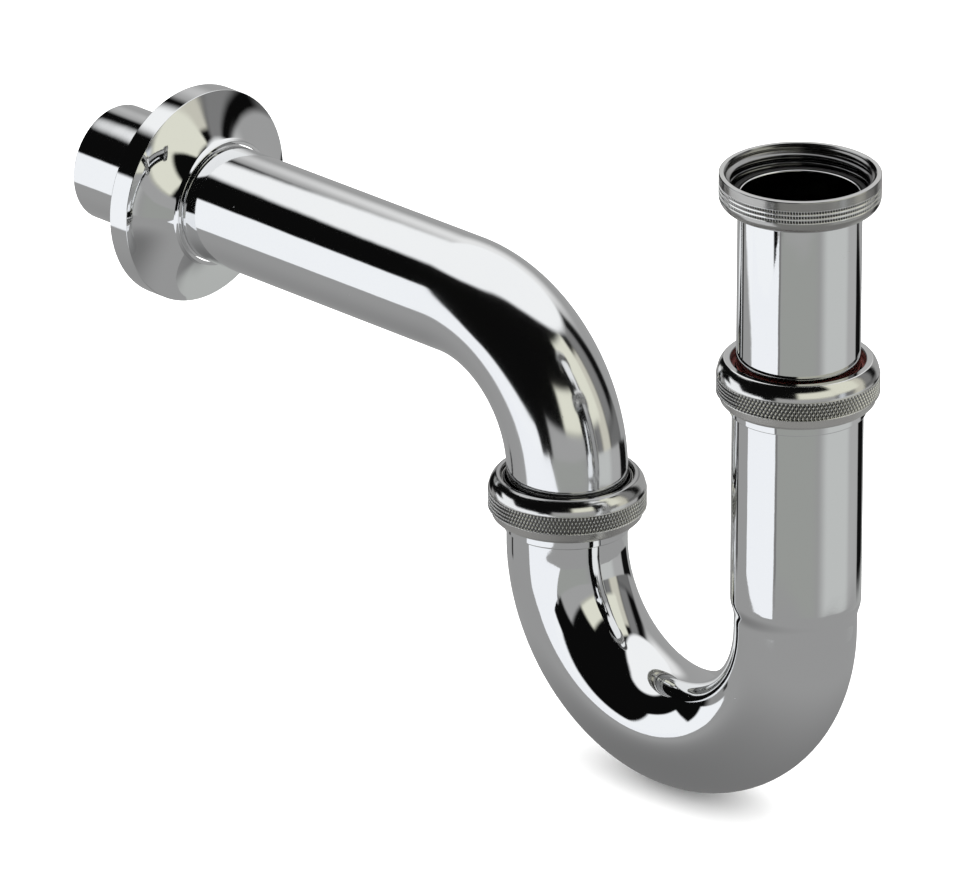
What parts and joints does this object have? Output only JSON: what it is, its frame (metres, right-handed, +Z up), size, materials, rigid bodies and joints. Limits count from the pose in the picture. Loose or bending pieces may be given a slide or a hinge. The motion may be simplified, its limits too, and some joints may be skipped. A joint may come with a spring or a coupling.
{
  "type": "p trap",
  "caption": "Adjustable tubular basin trap: threaded inlet union, sliding inlet tube, U-bend with two knurled slip nuts, outlet bend and sliding wall rosette.",
  "frame": {"origin": "centre of the end face of the outlet tube, the end that goes into the wall", "axes": "+Y along the outlet arm into the wall, +Z up along the inlet tube to the basin, +X across the trap"},
  "size_m": [0.0642, 0.2991, 0.2015],
  "materials": {
    "chrome_tube": "bright plated brass",
    "nut_metal": "satin nickel-plated brass",
    "black_rubber": "matt",
    "black_plastic": "satin",
    "red_fibre": "matt"
  },
  "bodies": {
    "arm": {"outlet_bend": "chrome_tube", "outlet_gasket": "black_rubber"},
    "trap": {"trap_bend": "chrome_tube", "socket_thread_ring": "chrome_tube", "outlet_thread_ring": "chrome_tube"},
    "seal": {"slip_seal": "black_rubber"},
    "inlet": {"inlet_tube": "chrome_tube", "inlet_gasket": "black_rubber"},
    "union_nut": {"inlet_union_nut": "nut_metal"},
    "slip_ring": {"slip_ring": "red_fibre"},
    "slip_nut": {"slip_nut": "nut_metal"},
    "outlet_ring": {"outlet_slip_ring": "black_plastic", "outlet_washer": "nut_metal"},
    "outlet_nut": {"outlet_nut": "nut_metal"},
    "rosette": {"wall_rosette": "chrome_tube"}
  },
  "joints": [
    {"name": "trap_swivel", "type": "hinge", "parent": "arm", "child": "trap", "pos_m": [0, -0.186, -0.05], "axis": [0, 0, 1], "range_deg": [-135, 135]},
    {"name": "inlet_swivel", "type": "hinge", "parent": "trap", "child": "seal", "pos_m": [0, -0.276, 0.01], "axis": [0, 0, 1], "continuous": true},
    {"name": "inlet_height", "type": "slide", "parent": "seal", "child": "inlet", "axis": [0, 0, 1], "range_m": [-0.02, 0.02]},
    {"name": "union_nut_spin", "type": "hinge", "parent": "inlet", "child": "union_nut", "pos_m": [0, -0.276, 0.07], "axis": [0, 0, 1], "continuous": true},
    {"name": "slip_nut_turn", "type": "hinge", "parent": "slip_ring", "child": "slip_nut", "pos_m": [0, -0.276, 0.01], "axis": [0, 0, 1], "range_deg": [0, 1080]},
    {"name": "slip_ring_rise", "type": "slide", "parent": "trap", "child": "slip_ring", "axis": [0, 0, 1], "range_m": [0, 0.00694]},
    {"name": "outlet_nut_turn", "type": "hinge", "parent": "outlet_ring", "child": "outlet_nut", "pos_m": [0, -0.186, -0.05], "axis": [0, 0, 1], "range_deg": [0, 810]},
    {"name": "outlet_ring_rise", "type": "slide", "parent": "trap", "child": "outlet_ring", "axis": [0, 0, 1], "range_m": [0, 0.0052]},
    {"name": "rosette_slide", "type": "slide", "parent": "arm", "child": "rosette", "axis": [0, 1, 0], "range_m": [-0.09, 0.025]}
  ],
  "couplings": [
    {"joint": "slip_ring_rise", "follows": "slip_nut_turn", "m_per_rad": 0.00036749},
    {"joint": "outlet_ring_rise", "follows": "outlet_nut_turn", "m_per_rad": 0.00036749}
  ]
}
